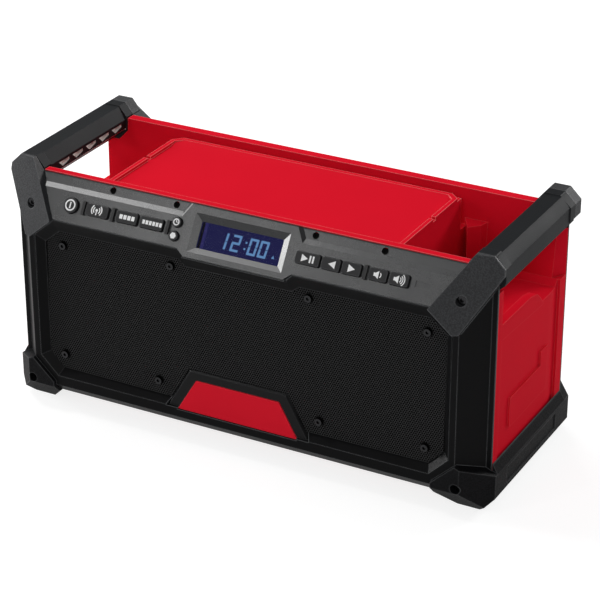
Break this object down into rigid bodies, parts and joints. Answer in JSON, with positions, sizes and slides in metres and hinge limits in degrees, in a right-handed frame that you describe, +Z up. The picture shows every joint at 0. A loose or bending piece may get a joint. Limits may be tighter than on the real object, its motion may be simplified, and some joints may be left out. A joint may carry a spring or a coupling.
{
  "type": "jobsite radio",
  "caption": "Rugged portable radio with a tray top, carrying handles over open sides, wide speaker grille, sloped control panel and corner rails.",
  "frame": {"origin": "on the ground under the middle of the radio", "axes": "+X to the right of someone facing the front, -Y out of the front, +Z up"},
  "size_m": [0.404, 0.18, 0.2],
  "materials": {
    "housing": "fine matt texture",
    "shell": "satin moulded",
    "grille": "matt powder coat, perforated",
    "badge_frame": "satin",
    "badge_plate": "gloss",
    "control_panel": "satin",
    "display_lens": "clear",
    "display": "liquid crystal panel",
    "keys": "satin",
    "membrane": "matt",
    "circuit_board": "solder mask",
    "screws": "black oxide",
    "speaker_frame": "satin",
    "speaker_cone": "pressed paper",
    "speaker_magnet": "plain",
    "flap": "matt",
    "inlet": "plain",
    "terminals": "plain",
    "heat_sink": "extruded",
    "grip": "satin",
    "handle_plate": "fine matt texture",
    "base_rail": "fine matt texture",
    "rail_pads": "matt"
  },
  "bodies": {
    "radio_body": {"badge_frame": "badge_frame", "badge_plate": "badge_plate", "battery_bay": "housing", "battery_terminals": "terminals", "control_board": "circuit_board", "control_panel": "control_panel", "dc_inlet": "inlet", "display_lens": "display_lens", "flap_pin": "screws", "front_housing": "housing", "grille_screws": "screws", "handle_screws": "screws", "heat_sink": "heat_sink", "keypad_membrane": "membrane", "lcd_module": "display", "left_base_rail": "base_rail", "left_handle_bar": "grip", "left_handle_front_plate": "handle_plate", "left_handle_rear_plate": "handle_plate", "left_speaker_cone": "speaker_cone", "left_speaker_frame": "speaker_frame", "left_speaker_magnet": "speaker_magnet", "main_board": "circuit_board", "main_board_screws": "screws", "main_shell": "shell", "panel_screws": "screws", "port_board": "circuit_board", "port_well": "housing", "rail_pads": "rail_pads", "rail_screws": "screws", "rear_housing": "housing", "rear_housing_screws": "screws", "right_base_rail": "base_rail", "right_handle_bar": "grip", "right_handle_front_plate": "handle_plate", "right_handle_rear_plate": "handle_plate", "right_speaker_cone": "speaker_cone", "right_speaker_frame": "speaker_frame", "right_speaker_magnet": "speaker_magnet", "speaker_grille": "grille", "speaker_screws": "screws"},
    "clock_button_body": {"clock_button": "keys"},
    "mode_button_body": {"mode_button": "keys"},
    "next_button_body": {"next_button": "keys"},
    "play_pause_button_body": {"play_pause_button": "keys"},
    "power_button_body": {"power_button": "keys"},
    "preset_button_body": {"preset_button": "keys"},
    "previous_button_body": {"previous_button": "keys"},
    "select_button_body": {"select_button": "keys"},
    "volume_down_button_body": {"volume_down_button": "keys"},
    "volume_up_button_body": {"volume_up_button": "keys"},
    "wireless_button_body": {"wireless_button": "keys"},
    "port_flap_body": {"port_flap": "flap"}
  },
  "joints": [
    {"name": "clock_button_press", "type": "slide", "parent": "radio_body", "child": "clock_button_body", "axis": [0, 0.8462, -0.5329], "range_m": [0, 0.001], "stiffness_N_per_m": 1500, "springref_m": -0.0004},
    {"name": "mode_button_press", "type": "slide", "parent": "radio_body", "child": "mode_button_body", "axis": [0, 0.8462, -0.5329], "range_m": [0, 0.001], "stiffness_N_per_m": 1500, "springref_m": -0.0004},
    {"name": "next_button_press", "type": "slide", "parent": "radio_body", "child": "next_button_body", "axis": [0, 0.8462, -0.5329], "range_m": [0, 0.001], "stiffness_N_per_m": 1500, "springref_m": -0.0004},
    {"name": "play_pause_button_press", "type": "slide", "parent": "radio_body", "child": "play_pause_button_body", "axis": [0, 0.8462, -0.5329], "range_m": [0, 0.001], "stiffness_N_per_m": 1500, "springref_m": -0.0004},
    {"name": "power_button_press", "type": "slide", "parent": "radio_body", "child": "power_button_body", "axis": [0, 0.8462, -0.5329], "range_m": [0, 0.001], "stiffness_N_per_m": 1500, "springref_m": -0.0004},
    {"name": "preset_button_press", "type": "slide", "parent": "radio_body", "child": "preset_button_body", "axis": [0, 0.8462, -0.5329], "range_m": [0, 0.001], "stiffness_N_per_m": 1500, "springref_m": -0.0004},
    {"name": "previous_button_press", "type": "slide", "parent": "radio_body", "child": "previous_button_body", "axis": [0, 0.8462, -0.5329], "range_m": [0, 0.001], "stiffness_N_per_m": 1500, "springref_m": -0.0004},
    {"name": "select_button_press", "type": "slide", "parent": "radio_body", "child": "select_button_body", "axis": [0, 0.8462, -0.5329], "range_m": [0, 0.001], "stiffness_N_per_m": 1500, "springref_m": -0.0004},
    {"name": "volume_down_button_press", "type": "slide", "parent": "radio_body", "child": "volume_down_button_body", "axis": [0, 0.8462, -0.5329], "range_m": [0, 0.001], "stiffness_N_per_m": 1500, "springref_m": -0.0004},
    {"name": "volume_up_button_press", "type": "slide", "parent": "radio_body", "child": "volume_up_button_body", "axis": [0, 0.8462, -0.5329], "range_m": [0, 0.001], "stiffness_N_per_m": 1500, "springref_m": -0.0004},
    {"name": "wireless_button_press", "type": "slide", "parent": "radio_body", "child": "wireless_button_body", "axis": [0, 0.8462, -0.5329], "range_m": [0, 0.001], "stiffness_N_per_m": 1500, "springref_m": -0.0004},
    {"name": "port_flap_hinge", "type": "hinge", "parent": "radio_body", "child": "port_flap_body", "pos_m": [-0.105, 0.0829, 0.0812], "axis": [-1, 0, 0], "range_deg": [0, 100]}
  ]
}
